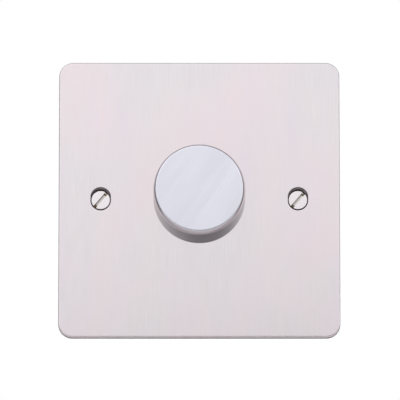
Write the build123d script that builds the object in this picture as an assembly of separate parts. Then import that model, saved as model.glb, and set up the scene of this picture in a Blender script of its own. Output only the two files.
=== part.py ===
from build123d import *
import math
import os

# A wall-mounted rotary dimmer switch with a push action, in millimetres.
# X is right and Z is up as seen from the room, and Y runs into the wall.
# The origin is in the wall plane, halfway between the two box screws.

# Faceplate and gasket
plate_size = 86.0
plate_thickness = 2.0
plate_corner_radius = 4.4
plate_edge_radius = 0.5
gasket_thickness = 1.0
gasket_inset = 1.0
gasket_band_width = 8.0
gasket_screw_clearance = 1.5
gasket_corner_radius = 5.0

# Box screws and the slots that they pass through
screw_spacing = 60.3
screw_head_diameter = 5.9
screw_head_rim = 0.3
screw_cone_angle = 45.0
screw_head_edge = 0.2
screw_shank_diameter = 3.5
screw_length = 24.0
screw_tip_chamfer = 0.5
screw_slot_width = 0.9
screw_slot_depth = 0.8
screw_slot_angle = 46.0
screw_recess = 0.95
fixing_slot_width = 6.2
fixing_slot_travel = 1.0
fixing_slot_rise = 0.2
fixing_slot_lip = 0.25
fixing_slot_clearance = 0.3

# Clearances that every fit shares
running_clearance = 0.05
thread_clearance = 0.02
seat_gap = 0.03
press_gap = 0.05
rest_gap = 0.05
same_depth = 0.001

# Control bush, nut and washer, which clamp the faceplate to the yoke
bush_diameter = 10.0
bush_protrusion = 0.6
bush_chamfer = 0.4
bush_flange_thickness = 1.2
bush_hole_clearance = 0.15
nut_across_flats = 14.0
nut_thickness = 2.0
nut_chamfer = 0.5
nut_corner_angle = 30.0
washer_diameter = 15.6
washer_thickness = 0.6
washer_tooth_count = 10
washer_tooth_width = 1.0
washer_tooth_depth = 0.9

# Knob
knob_diameter = 28.0
knob_length = 14.8
knob_wall = 1.4
knob_face_thickness = 1.5
knob_edge_radius = 0.8
knob_rim_chamfer = 0.3
knob_travel = 1.0
knob_push_clearance = 0.2
insert_ring_wall = 1.4
insert_setback = 0.5
insert_face_thickness = 1.5
insert_boss_diameter = 12.0
insert_rib_count = 6
insert_rib_thickness = 1.2
insert_nut_clearance = 0.8
insert_bush_clearance = 0.4
grip_spring_thickness = 0.4
grip_spring_width = 4.0
grip_spring_margin = 0.4

# Spindle
spindle_diameter = 6.0
spindle_flat_depth = 1.5
spindle_end_gap = 0.2
spindle_collar_diameter = 8.4
spindle_collar_length = 1.25
spindle_tail_diameter = 5.0
spindle_tail_flat_depth = 1.0
spindle_tail_setback = 0.6

# Rotary control behind the yoke
control_diameter = 20.0
control_wall = 0.8
control_rear_wall = 1.4
tail_hole_clearance = 0.7
rotor_diameter = 16.0
rotor_thickness = 1.8
rotor_collar_gap = 0.2
rotor_hub_diameter = 9.0
track_disc_thickness = 1.0
track_height = 0.1
track_mean_radius = 6.4
track_width = 1.8
track_sweep = 300.0
contact_gap = 1.1
contact_thickness = 0.3
contact_arm_sweep = 50.0
contact_finger_diameter = 1.0

# Yoke, which is also the heat sink
yoke_thickness = 1.5
yoke_margin = 1.0
yoke_corner_radius = 2.0
yoke_tab_width = 11.0
yoke_tab_corner_radius = 1.0
locating_pip_diameter = 2.4
locating_pip_offset = 10.8
locating_pip_clearance = 0.1
locating_pip_sink = 0.2

# Rear housing and its screws
housing_width = 46.0
housing_height = 52.0
housing_wall = 1.6
housing_corner_radius = 3.0
housing_rear_chamfer = 0.8
housing_post_diameter = 5.8
housing_post_inset = 4.6
housing_screw_diameter = 2.8
housing_screw_hole_diameter = 3.2
housing_screw_head_diameter = 5.2
housing_screw_head_height = 1.3
housing_screw_sink = 1.4
pan_head_chamfer = 0.4
cross_recess_width = 0.7
cross_recess_depth = 0.7
cross_recess_length = 3.0

# Circuit board
board_thickness = 1.6
board_clearance = 0.2
board_corner_radius = 1.5
post_clearance = 0.2
lead_size = 0.6
lead_hole_clearance = 0.1
lead_tail = 0.6

# Push switch behind the board
switch_body_width = 17.0
switch_body_height = 14.0
switch_wall = 1.2
switch_cavity_diameter = 11.2
switch_rear_gap = 0.5
plunger_stem_diameter = 4.8
plunger_flange_diameter = 9.2
plunger_flange_thickness = 1.4
plunger_spigot_diameter = 3.2
plunger_spigot_length = 2.2
bridge_diameter = 10.4
bridge_thickness = 0.4
spring_length = 5.6
spring_mean_diameter = 6.8
spring_wire_size = 0.5
spring_turns = 4
fixed_contact_thickness = 0.4
fixed_contact_width = 2.2
fixed_contact_reach = 1.6
fixed_contact_wall_gap = 0.15

# Line terminals, in pockets that open to the rear and below
terminal_count = 3
terminal_pitch = 12.0
terminal_width = 7.6
terminal_height = 7.6
terminal_pocket_gap = 0.4
terminal_floor_gap = 0.3
terminal_floor_thickness = 0.9
terminal_board_gap = 0.8
terminal_bottom_setback = 0.6
terminal_rear_recess = 1.8
terminal_bore_diameter = 3.6
terminal_bore_wall = 1.4
terminal_bore_depth = 6.8
terminal_screw_diameter = 2.8
terminal_screw_head_diameter = 4.6
terminal_screw_head_height = 1.4
terminal_screw_slot_width = 0.7
terminal_screw_slot_depth = 0.7
terminal_pin_diameter = 1.2
terminal_pin_hole_clearance = 0.15
terminal_rail_wall = 1.6

# Earth terminal on the yoke's top tab
earth_gap = 0.6
earth_height = 6.4
earth_depth = 7.0
earth_bore_depth = 5.0
earth_stem_diameter = 3.0
earth_stem_setback = 0.05

# Triac, pad and screw
triac_width = 10.0
triac_tab_length = 15.4
triac_body_length = 9.0
triac_tab_thickness = 1.3
triac_body_thickness = 4.5
triac_tab_hole_diameter = 3.6
triac_tab_hole_setback = 2.8
triac_edge_gap = 3.6
triac_top_gap = 0.6
triac_lead_pitch = 2.54
triac_lead_width = 0.8
triac_lead_thickness = 0.5
triac_lead_reach = 2.2
pad_thickness = 0.3
pad_margin = 0.8
triac_screw_diameter = 2.8
triac_screw_head_diameter = 5.2
triac_screw_head_height = 1.5

# Choke
choke_core_outer_diameter = 14.0
choke_core_inner_diameter = 8.4
choke_core_height = 5.0
choke_core_chamfer = 0.3
choke_wire_diameter = 0.8
choke_turns = 18
choke_open_angle = 40.0
choke_groove_width = 0.4
choke_groove_depth = 0.25
choke_edge_gap = 1.6
choke_top_gap = 0.4

# Small parts on the board
film_width = 13.0
film_length = 6.5
film_height = 7.6
film_edge_radius = 0.6
film_lead_pitch = 10.0
electrolytic_diameter = 8.0
electrolytic_height = 7.8
electrolytic_groove_setback = 1.3
electrolytic_groove_depth = 0.35
electrolytic_lead_pitch = 3.5
fuse_diameter = 8.0
fuse_height = 7.2
fuse_chamfer = 0.35
fuse_lead_pitch = 5.0
lower_row_gap = 5.4
component_edge_gap = 1.2
component_spacing = 2.6
resistor_body_length = 6.0
resistor_body_diameter = 2.3
resistor_waist_diameter = 1.9
resistor_lead_pitch = 7.6
resistor_heights = [5.4, -5.4, -8.8]
axial_cap_length = 1.0
diac_body_length = 4.0
diac_body_diameter = 1.8
diac_waist_diameter = 1.7
diac_lead_pitch = 6.6
diac_height = -6.0
chip_width = 5.0
chip_length = 3.9
chip_height = 1.5
chip_leg_count = 4
chip_leg_pitch = 1.27
chip_leg_size = 0.4
chip_leg_reach = 1.0
chip_z = -9.6
axial_lift = 0.2

# Depths, from the room into the wall
wall_plane = 0.0
plate_rear = wall_plane - gasket_thickness
plate_front = plate_rear - plate_thickness
washer_front = plate_front - washer_thickness
nut_front = washer_front - nut_thickness
bush_front = nut_front - bush_protrusion
knob_rear = plate_front - knob_travel - knob_push_clearance
knob_front = knob_rear - knob_length
insert_front = knob_front + knob_face_thickness
insert_rear = knob_rear - insert_setback
insert_bore_end = insert_front + insert_face_thickness
rib_rear = nut_front - knob_travel - insert_nut_clearance
boss_rear = bush_front - knob_travel - insert_bush_clearance
spindle_front = insert_bore_end + spindle_end_gap
yoke_front = plate_rear
yoke_rear = yoke_front + yoke_thickness
flange_rear = yoke_rear + bush_flange_thickness
collar_front = flange_rear + rest_gap
collar_rear = collar_front + spindle_collar_length
rotor_front = collar_rear + knob_travel + rotor_collar_gap
rotor_rear = rotor_front + rotor_thickness
track_front = rotor_rear + contact_gap
track_disc_front = track_front + track_height
track_disc_rear = track_disc_front + track_disc_thickness
board_front = track_disc_rear + control_rear_wall
board_rear = board_front + board_thickness
spindle_rear = board_front - spindle_tail_setback
plunger_front = spindle_rear + rest_gap
plunger_flange_front = board_rear + rest_gap
plunger_flange_rear = plunger_flange_front + plunger_flange_thickness
bridge_rear = plunger_flange_rear + bridge_thickness
fixed_contact_front = bridge_rear + knob_travel + rest_gap
switch_cavity_rear = bridge_rear + spring_length
switch_rear = switch_cavity_rear + switch_wall
housing_inner_rear = switch_rear + switch_rear_gap
housing_rear = housing_inner_rear + housing_wall

# Radii and half sizes that several pieces share
spindle_radius = spindle_diameter / 2
spindle_bore_radius = spindle_radius + running_clearance
tail_radius = spindle_tail_diameter / 2
tail_hole_radius = tail_radius + tail_hole_clearance
bush_radius = bush_diameter / 2
bush_hole_radius = bush_radius + bush_hole_clearance
knob_radius = knob_diameter / 2
insert_radius = knob_radius - knob_wall - press_gap
control_inner_radius = control_diameter / 2 - control_wall
spindle_flat_height = spindle_radius - spindle_flat_depth
insert_flat_height = spindle_flat_height + grip_spring_thickness + 2 * press_gap
tail_flat_height = tail_radius - spindle_tail_flat_depth
gasket_size = plate_size - 2 * gasket_inset
gasket_opening = gasket_size - 2 * gasket_band_width
yoke_width = housing_width + 2 * yoke_margin
housing_half_width = housing_width / 2
housing_half_height = housing_height / 2
board_half_width = housing_half_width - housing_wall - board_clearance
board_half_height = housing_half_height - housing_wall - board_clearance
post_x = housing_half_width - housing_post_inset

# Line terminals
terminal_bottom = -housing_half_height + terminal_bottom_setback
terminal_top = terminal_bottom + terminal_height
terminal_z = (terminal_bottom + terminal_top) / 2
pocket_front = board_rear + terminal_board_gap + terminal_floor_thickness
terminal_front = pocket_front + terminal_floor_gap
terminal_rear = housing_rear - terminal_rear_recess
terminal_bore_y = terminal_front + terminal_bore_wall + terminal_bore_diameter / 2
terminal_places = [(i - (terminal_count - 1) / 2) * terminal_pitch for i in range(terminal_count)]

# Earth terminal
earth_bottom = housing_half_height + earth_gap
earth_top = earth_bottom + earth_height
earth_z = (earth_bottom + earth_top) / 2
earth_rear = yoke_rear + earth_depth
earth_bore_y = yoke_rear + terminal_bore_wall + terminal_bore_diameter / 2

# Places of the parts on the board
triac_x = -board_half_width + triac_edge_gap + triac_width / 2
triac_tab_top = board_half_height - triac_top_gap
triac_body_bottom = triac_tab_top - triac_tab_length
triac_screw_z = triac_tab_top - triac_tab_hole_setback
triac_front = yoke_rear + pad_thickness
triac_lead_y = triac_front + triac_body_thickness / 2
triac_lead_z = triac_body_bottom - triac_lead_reach
choke_outer_radius = choke_core_outer_diameter / 2 + choke_wire_diameter
choke_inner_radius = choke_core_inner_diameter / 2 - choke_wire_diameter
choke_x = board_half_width - choke_edge_gap - choke_outer_radius
choke_z = board_half_height - choke_top_gap - choke_outer_radius
choke_rear = board_front - rest_gap
choke_front = choke_rear - choke_core_height - 2 * choke_wire_diameter
lower_row_z = -board_half_height + lower_row_gap
film_x = -board_half_width + component_edge_gap + film_width / 2
fuse_x = film_x + film_width / 2 + component_spacing + fuse_diameter / 2
electrolytic_x = fuse_x + fuse_diameter / 2 + component_spacing + electrolytic_diameter / 2
resistor_x = board_half_width - component_edge_gap - resistor_lead_pitch / 2
diac_x = -board_half_width + component_edge_gap + diac_lead_pitch / 2
chip_x = -board_half_width + component_edge_gap + chip_width / 2


def room_plane(depth):
    """A drawing plane seen from the room: its x is X, its y is Z."""
    return Plane(origin=(0, depth, 0), x_dir=(1, 0, 0), z_dir=(0, -1, 0))


def slab(drawing, front, rear):
    """A drawing seen from the room, made solid between two depths."""
    return extrude(room_plane(front) * drawing, rear - front, dir=(0, 1, 0))


def bar(radius, front, rear, x=0.0, z=0.0):
    """A round bar along Y."""
    return slab(Pos(x, z) * Circle(radius), front, rear)


def block(x, z, width, height, front, rear):
    """A plain block, given its middle as seen from the room."""
    return slab(Pos(x, z) * Rectangle(width, height), front, rear)


def turned(profile, x=0.0, z=0.0, sweep=360.0):
    """A turned piece from (radius, depth) points, about an axis along Y."""
    face = make_face(Polyline(*profile, close=True))
    return Pos(x, 0, z) * revolve(Plane.XY * face, Axis.Y, sweep)


def edges_at(piece, depth):
    """The edges of a piece that lie in the plane at one depth."""
    return piece.edges().filter_by_position(Axis.Y, depth - same_depth, depth + same_depth)


def d_section(radius, flat_height):
    """A round section with one flat on its upper side."""
    cut = Pos(0, flat_height + radius) * Rectangle(4 * radius, 2 * radius)
    return Circle(radius) - cut


def fixing_places():
    """The two box screws, left and right."""
    return [-screw_spacing / 2, screw_spacing / 2]


def fixing_slot(x):
    """What is cut from the faceplate for one box screw: a slot, then the seat for its cone."""
    half = fixing_slot_width / 2
    straight = screw_recess + screw_head_rim + seat_gap - (half - screw_head_diameter / 2)
    floor = screw_shank_diameter / 2 + fixing_slot_clearance
    cone_front = plate_front + straight
    cone_rear = cone_front + (half - floor) / math.tan(math.radians(screw_cone_angle))
    rear = max(cone_rear, plate_rear) + seat_gap
    side = [(0, plate_front), (half, plate_front), (half, cone_front), (floor, cone_rear), (floor, rear)]
    ends = [turned(side + [(0, rear)], x, fixing_slot_rise + end * fixing_slot_travel / 2) for end in (-1, 1)]
    other_side = [(-radius, depth) for radius, depth in reversed(side[1:])]
    section = make_face(Polyline(*side[1:], *other_side, close=True))
    middle = extrude(section, fixing_slot_travel / 2, both=True)
    return ends[0] + ends[1] + Pos(x, 0, fixing_slot_rise) * middle


def on_fixing_slot(point):
    """Whether a point is nearer to a box screw than a slot is wide."""
    return any(math.hypot(point.X - x, point.Z) < fixing_slot_width for x in fixing_places())


def faceplate():
    drawing = RectangleRounded(plate_size, plate_size, plate_corner_radius)
    plate = slab(drawing, plate_front, plate_rear)
    plate = fillet(edges_at(plate, plate_front), plate_edge_radius)
    plate -= bar(bush_hole_radius, plate_front, plate_rear)
    pip_hole_radius = locating_pip_diameter / 2 + locating_pip_clearance
    plate -= bar(pip_hole_radius, plate_front, plate_rear, z=-locating_pip_offset)
    for x in fixing_places():
        plate -= fixing_slot(x)
    lips = [edge for edge in edges_at(plate, plate_front) if on_fixing_slot(edge.center())]
    return chamfer(lips, fixing_slot_lip)


def plate_gasket():
    """A foam band behind the faceplate's rim, clear of the box screws."""
    outer = RectangleRounded(gasket_size, gasket_size, plate_corner_radius - gasket_inset)
    opening = RectangleRounded(gasket_opening, gasket_opening, gasket_corner_radius)
    gasket = slab(outer - opening, plate_rear, wall_plane)
    for x in fixing_places():
        gasket -= bar(screw_shank_diameter / 2 + gasket_screw_clearance, plate_rear, wall_plane, x=x)
    return gasket


def box_screw(x):
    """A countersunk slotted screw, its head sunk in the faceplate."""
    head_front = plate_front + screw_recess
    cone_front = head_front + screw_head_rim
    head_radius = screw_head_diameter / 2
    shank_radius = screw_shank_diameter / 2
    cone_rear = cone_front + (head_radius - shank_radius) / math.tan(math.radians(screw_cone_angle))
    tip = head_front + screw_length
    screw = turned(
        [
            (0, head_front),
            (head_radius - screw_head_edge, head_front),
            (head_radius, head_front + screw_head_edge),
            (head_radius, cone_front),
            (shank_radius, cone_rear),
            (shank_radius, tip - screw_tip_chamfer),
            (shank_radius - screw_tip_chamfer, tip),
            (0, tip),
        ]
    )
    slot = Rot(0, 0, screw_slot_angle) * Rectangle(2 * screw_head_diameter, screw_slot_width)
    return Pos(x, 0, 0) * (screw - slab(slot, head_front, head_front + screw_slot_depth))


def fixing_screws():
    return [box_screw(x) for x in fixing_places()]


def control_nut():
    corner_radius = nut_across_flats / math.sqrt(3)
    hexagon = slab(RegularPolygon(corner_radius, 6), nut_front, washer_front)
    rim = corner_radius + nut_chamfer
    flat_radius = nut_across_flats / 2 + nut_chamfer / 2
    dome = turned(
        [
            (0, nut_front),
            (flat_radius, nut_front),
            (rim, nut_front + (rim - flat_radius) * math.tan(math.radians(nut_corner_angle))),
            (rim, washer_front),
            (0, washer_front),
        ]
    )
    return (hexagon & dome) - bar(bush_radius + thread_clearance, nut_front, washer_front)


def lock_washer():
    """A washer with teeth round its rim."""
    hole = bush_radius + bush_hole_clearance
    washer = bar(washer_diameter / 2, washer_front, plate_front) - bar(hole, washer_front, plate_front)
    for i in range(washer_tooth_count):
        notch = Pos(washer_diameter / 2, 0) * Rectangle(2 * washer_tooth_depth, washer_tooth_width)
        washer -= slab(Rot(0, 0, 360 * i / washer_tooth_count) * notch, washer_front, plate_front)
    return washer


def knob_shell():
    """The metal cap of the knob, open behind."""
    shell = turned(
        [
            (0, knob_front),
            (knob_radius, knob_front),
            (knob_radius, knob_rear - knob_rim_chamfer),
            (knob_radius - knob_rim_chamfer, knob_rear),
            (knob_radius - knob_wall, knob_rear),
            (knob_radius - knob_wall, insert_front),
            (0, insert_front),
        ]
    )
    return fillet(edges_at(shell, knob_front), knob_edge_radius)


def knob_insert():
    """The moulding inside the cap: a ring and a boss, joined by a face and ribs."""
    ring_inner = insert_radius - insert_ring_wall
    boss_radius = insert_boss_diameter / 2
    insert = bar(insert_radius, insert_front, insert_rear) - bar(ring_inner, insert_bore_end, insert_rear)
    insert += bar(boss_radius, insert_front, boss_rear)
    rib_length = ring_inner - boss_radius + 2 * press_gap
    for i in range(insert_rib_count):
        rib = Pos((ring_inner + boss_radius) / 2, 0) * Rectangle(rib_length, insert_rib_thickness)
        insert += slab(Rot(0, 0, 360 * (i + 0.5) / insert_rib_count) * rib, insert_front, rib_rear)
    return insert - slab(d_section(spindle_bore_radius, insert_flat_height), insert_bore_end, boss_rear)


def knob_grip_spring():
    """A bowed leaf between the spindle's flat and the insert."""
    front = spindle_front + grip_spring_margin
    rear = boss_rear - grip_spring_margin
    middle = spindle_flat_height + press_gap + grip_spring_thickness / 2
    return block(0, middle, grip_spring_width, grip_spring_thickness, front, rear)


def spindle():
    """The spindle: flat for the knob, bearing, collar, and flat tail for the rotor."""
    shaft = slab(d_section(spindle_radius, spindle_flat_height), spindle_front, boss_rear)
    shaft += bar(spindle_radius, boss_rear, collar_front)
    shaft += bar(spindle_collar_diameter / 2, collar_front, collar_rear)
    return shaft + slab(d_section(tail_radius, tail_flat_height), collar_rear, spindle_rear)


def control_bush():
    """The threaded bush, its flange behind the yoke."""
    return turned(
        [
            (spindle_bore_radius, bush_front),
            (bush_radius - bush_chamfer, bush_front),
            (bush_radius, bush_front + bush_chamfer),
            (bush_radius, yoke_rear),
            (control_inner_radius - press_gap, yoke_rear),
            (control_inner_radius - press_gap, flange_rear),
            (spindle_bore_radius, flange_rear),
        ]
    )


def control_housing():
    """The cup of the rotary control, open to the yoke."""
    cup = bar(control_diameter / 2, yoke_rear, board_front)
    cup -= bar(control_inner_radius, yoke_rear, track_disc_rear)
    return cup - bar(tail_hole_radius, track_disc_rear, board_front)


def ring_sector(inner, outer, sweep, front, rear):
    """Part of a ring about the spindle, centred on the top."""
    profile = [(inner, front), (outer, front), (outer, rear), (inner, rear)]
    return Rot(0, -(90 + sweep / 2), 0) * turned(profile, sweep=sweep)


def resistor_track():
    """The track's disc, with the raised track on the side of the wiper."""
    disc = bar(control_inner_radius - press_gap, track_disc_front, track_disc_rear)
    disc -= bar(tail_hole_radius, track_disc_front, track_disc_rear)
    inner = track_mean_radius - track_width / 2
    outer = track_mean_radius + track_width / 2
    return disc + ring_sector(inner, outer, track_sweep, track_front, track_disc_front)


def wiper_rotor():
    """The rotor that the spindle's tail turns and slides in."""
    rotor = bar(rotor_diameter / 2, rotor_front + rotor_thickness / 2, rotor_rear)
    rotor += bar(rotor_hub_diameter / 2, rotor_front, rotor_rear)
    tail = d_section(tail_radius + running_clearance, tail_flat_height + running_clearance)
    return rotor - slab(tail, rotor_front, rotor_rear)


def wiper_contact():
    """The sprung arm on the rotor and the finger that rubs on the track."""
    inner = track_mean_radius - track_width / 2
    outer = track_mean_radius + track_width / 2
    arm = ring_sector(inner, outer, contact_arm_sweep, rotor_rear, rotor_rear + contact_thickness)
    finger = bar(contact_finger_diameter / 2, rotor_rear, track_front - rest_gap, z=track_mean_radius)
    return arm + finger


def heat_sink_yoke():
    """The aluminium plate that carries the whole module and cools the triac."""
    drawing = RectangleRounded(yoke_width, housing_height, yoke_corner_radius)
    tab_height = earth_top - housing_half_height + yoke_corner_radius
    tab = RectangleRounded(yoke_tab_width, tab_height, yoke_tab_corner_radius)
    yoke = slab(drawing + Pos(0, earth_top - tab_height / 2) * tab, yoke_front, yoke_rear)
    pip_front = plate_front + locating_pip_sink
    yoke += bar(locating_pip_diameter / 2, pip_front, yoke_front, z=-locating_pip_offset)
    yoke -= bar(bush_hole_radius, yoke_front, yoke_rear)
    for x in (-post_x, post_x):
        yoke -= bar(housing_screw_diameter / 2 + thread_clearance, yoke_front, yoke_rear, x=x)
    yoke -= bar(triac_screw_diameter / 2 + thread_clearance, yoke_front, yoke_rear, triac_x, triac_screw_z)
    return yoke - bar(earth_stem_diameter / 2 + thread_clearance, yoke_front, yoke_rear, z=earth_z)


def rear_housing():
    """The moulded box behind the yoke, with pockets for the line terminals."""
    outer = RectangleRounded(housing_width, housing_height, housing_corner_radius)
    inner_width = housing_width - 2 * housing_wall
    inner_height = housing_height - 2 * housing_wall
    inner = RectangleRounded(inner_width, inner_height, housing_corner_radius - housing_wall)
    box = slab(outer, yoke_rear, housing_rear)
    box = chamfer(edges_at(box, housing_rear), housing_rear_chamfer)
    cavity = slab(inner, yoke_rear, housing_inner_rear)
    rail_top = terminal_top + terminal_pocket_gap + terminal_rail_wall
    rail_height = rail_top + housing_half_height
    rail_front = board_rear + terminal_board_gap
    cavity -= block(0, rail_top - rail_height / 2, housing_width, rail_height, rail_front, housing_rear)
    for x in (-post_x, post_x):
        cavity -= bar(housing_post_diameter / 2, yoke_rear, housing_rear, x=x)
    box -= cavity
    for x in (-post_x, post_x):
        box -= bar(housing_screw_hole_diameter / 2, yoke_rear, housing_rear, x=x)
        box -= bar(housing_post_diameter / 2, housing_rear - housing_screw_sink, housing_rear, x=x)
    pocket_width = terminal_width + 2 * terminal_pocket_gap
    pocket_height = terminal_top + terminal_pocket_gap + housing_half_height
    pocket_z = terminal_top + terminal_pocket_gap - pocket_height / 2
    for x in terminal_places:
        box -= block(x, pocket_z, pocket_width, pocket_height, pocket_front, housing_rear)
        pin_hole = terminal_pin_diameter / 2 + terminal_pin_hole_clearance
        box -= bar(pin_hole, rail_front, pocket_front, x=x, z=terminal_z)
    return box


def cross_recess(x, z, head_rear):
    """The cross cut in a screw's head that faces the rear."""
    arm = Rectangle(cross_recess_length, cross_recess_width)
    return slab(Pos(x, z) * (arm + Rot(0, 0, 90) * arm), head_rear - cross_recess_depth, head_rear)


def rear_screw(x, z, radius, tip, head_front, head_radius, head_height):
    """A pan-head screw that is driven from the rear."""
    screw = bar(radius, tip, head_front, x, z)
    head = bar(head_radius, head_front, head_front + head_height, x, z)
    head = chamfer(edges_at(head, head_front + head_height), pan_head_chamfer)
    return screw + head - cross_recess(x, z, head_front + head_height)


def housing_screws():
    tip = yoke_front + rest_gap
    head_front = housing_rear - housing_screw_sink
    head_radius = housing_screw_head_diameter / 2
    radius = housing_screw_diameter / 2
    return [
        rear_screw(x, 0, radius, tip, head_front, head_radius, housing_screw_head_height)
        for x in (-post_x, post_x)
    ]


def terminal_block(x):
    """A brass block with a wire bore from below and a clamp screw's hole from behind."""
    body = block(x, terminal_z, terminal_width, terminal_height, terminal_front, terminal_rear)
    body += bar(terminal_pin_diameter / 2, board_front + rest_gap, terminal_front, x, terminal_z)
    bore = Pos(x, terminal_bore_y, terminal_bottom) * Cylinder(
        terminal_bore_diameter / 2, terminal_bore_depth, align=(Align.CENTER, Align.CENTER, Align.MIN)
    )
    screw_hole = terminal_screw_diameter / 2 + thread_clearance
    return body - bore - bar(screw_hole, terminal_bore_y, terminal_rear, x, terminal_z)


def clamp_screw(x, z, bore_y, seat):
    """A slotted clamp screw, backed off so that a wire can enter."""
    tip = bore_y + terminal_bore_diameter / 2 + rest_gap
    screw = bar(terminal_screw_diameter / 2, tip, seat, x, z)
    head_rear = seat + terminal_screw_head_height
    screw += bar(terminal_screw_head_diameter / 2, seat, head_rear, x, z)
    cut = Rectangle(2 * terminal_screw_head_diameter, terminal_screw_slot_width)
    return screw - slab(Pos(x, z) * cut, head_rear - terminal_screw_slot_depth, head_rear)


def terminal_blocks():
    return [terminal_block(x) for x in terminal_places]


def terminal_screws():
    return [clamp_screw(x, terminal_z, terminal_bore_y, terminal_rear) for x in terminal_places]


def earth_terminal():
    """The earth block, its stem swaged into the yoke's tab."""
    body = block(0, earth_z, terminal_width, earth_height, yoke_rear, earth_rear)
    body += bar(earth_stem_diameter / 2, yoke_front + earth_stem_setback, yoke_rear, z=earth_z)
    bore = Pos(0, earth_bore_y, earth_top) * Cylinder(
        terminal_bore_diameter / 2, earth_bore_depth, align=(Align.CENTER, Align.CENTER, Align.MAX)
    )
    screw_hole = terminal_screw_diameter / 2 + thread_clearance
    return body - bore - bar(screw_hole, earth_bore_y, earth_rear, z=earth_z)


def earth_screw():
    return clamp_screw(0, earth_z, earth_bore_y, earth_rear)


def lead_places():
    """Every place where a part's lead goes through the board."""
    places = [(triac_x + i * triac_lead_pitch, triac_lead_z) for i in (-1, 0, 1)]
    places += [(choke_x + i * choke_inner_radius, choke_z) for i in (-1, 1)]
    places += pair_of_leads(film_x, film_lead_pitch)
    places += pair_of_leads(fuse_x, fuse_lead_pitch)
    places += pair_of_leads(electrolytic_x, electrolytic_lead_pitch)
    for z in resistor_heights:
        places += [(resistor_x + i * resistor_lead_pitch / 2, z) for i in (-1, 1)]
    places += [(diac_x + i * diac_lead_pitch / 2, diac_height) for i in (-1, 1)]
    return places


def pair_of_leads(x, pitch):
    """Two leads side by side in the lower row."""
    return [(x - pitch / 2, lower_row_z), (x + pitch / 2, lower_row_z)]


def circuit_board():
    drawing = RectangleRounded(2 * board_half_width, 2 * board_half_height, board_corner_radius)
    board = slab(drawing, board_front, board_rear)
    board -= bar(tail_hole_radius, board_front, board_rear)
    notch_radius = housing_post_diameter / 2 + post_clearance
    for side in (-1, 1):
        board -= bar(notch_radius, board_front, board_rear, x=side * post_x)
        depth = board_half_width - post_x + notch_radius
        middle = side * (post_x + depth / 2)
        board -= block(middle, 0, depth, 2 * notch_radius, board_front, board_rear)
    hole = lead_size + 2 * lead_hole_clearance
    for x, z in lead_places():
        board -= block(x, z, hole, hole, board_front, board_rear)
    for x in terminal_places:
        pin_hole = terminal_pin_diameter / 2 + terminal_pin_hole_clearance
        board -= bar(pin_hole, board_front, board_rear, x, terminal_z)
    return board


def leads(places, front):
    """Straight leads from a part's body through the board."""
    return [block(x, z, lead_size, lead_size, front, board_rear + lead_tail) for x, z in places]


def switch_body():
    """The push switch's case, open to the board, with a groove for each fixed contact."""
    drawing = RectangleRounded(switch_body_width, switch_body_height, switch_wall)
    body = slab(drawing, board_rear, switch_rear)
    body -= bar(switch_cavity_diameter / 2, board_rear, switch_cavity_rear)
    groove_rear = fixed_contact_front + fixed_contact_thickness + fixed_contact_wall_gap
    groove_half = fixed_contact_outer() + fixed_contact_wall_gap
    height = fixed_contact_width + 2 * fixed_contact_wall_gap
    return body - block(0, 0, 2 * groove_half, height, board_rear, groove_rear)


def fixed_contact_outer():
    """How far out the fixed contacts stand: just past the cavity's wall."""
    return switch_cavity_diameter / 2 + fixed_contact_thickness + fixed_contact_wall_gap


def fixed_contacts():
    """Two angled strips, from the board to just behind the bridge contact."""
    pieces = []
    outer = fixed_contact_outer()
    rear = fixed_contact_front + fixed_contact_thickness
    for side in (-1, 1):
        upright = block(
            side * (outer - fixed_contact_thickness / 2),
            0,
            fixed_contact_thickness,
            fixed_contact_width,
            board_rear,
            rear,
        )
        middle = side * (outer - fixed_contact_reach / 2)
        shelf = block(middle, 0, fixed_contact_reach, fixed_contact_width, fixed_contact_front, rear)
        pieces.append(upright + shelf)
    return pieces


def switch_plunger():
    """The plunger that the spindle's tail pushes."""
    plunger = bar(plunger_stem_diameter / 2, plunger_front, plunger_flange_front)
    plunger += bar(plunger_flange_diameter / 2, plunger_flange_front, plunger_flange_rear)
    spigot_rear = plunger_flange_rear + plunger_spigot_length
    return plunger + bar(plunger_spigot_diameter / 2, plunger_flange_rear, spigot_rear)


def bridge_contact():
    """The contact ring that the plunger carries and its spring holds down."""
    hole = plunger_spigot_diameter / 2 + press_gap
    ring = bar(bridge_diameter / 2, plunger_flange_rear, bridge_rear)
    return ring - bar(hole, plunger_flange_rear, bridge_rear)


def return_spring():
    """A coil of square wire between the bridge contact and the switch's rear wall."""
    half = spring_wire_size / 2
    front = bridge_rear + half + thread_clearance
    height = spring_length - 2 * (half + thread_clearance)
    radius = spring_mean_diameter / 2
    coil = Helix(height / spring_turns, height, radius, center=(0, front, 0), direction=(0, 1, 0))
    start = Plane(origin=coil @ 0, x_dir=(0, 1, 0), z_dir=coil % 0)
    return sweep(start * Rectangle(spring_wire_size, spring_wire_size), path=coil, is_frenet=True)


def choke_core():
    """The choke's ring core."""
    inner = choke_core_inner_diameter / 2
    outer = choke_core_outer_diameter / 2
    front = choke_front + choke_wire_diameter
    rear = choke_rear - choke_wire_diameter
    profile = [(inner, front), (outer, front), (outer, rear), (inner, rear)]
    core = turned(profile, choke_x, choke_z)
    return chamfer(core.edges().filter_by(GeomType.CIRCLE), choke_core_chamfer)


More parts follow.
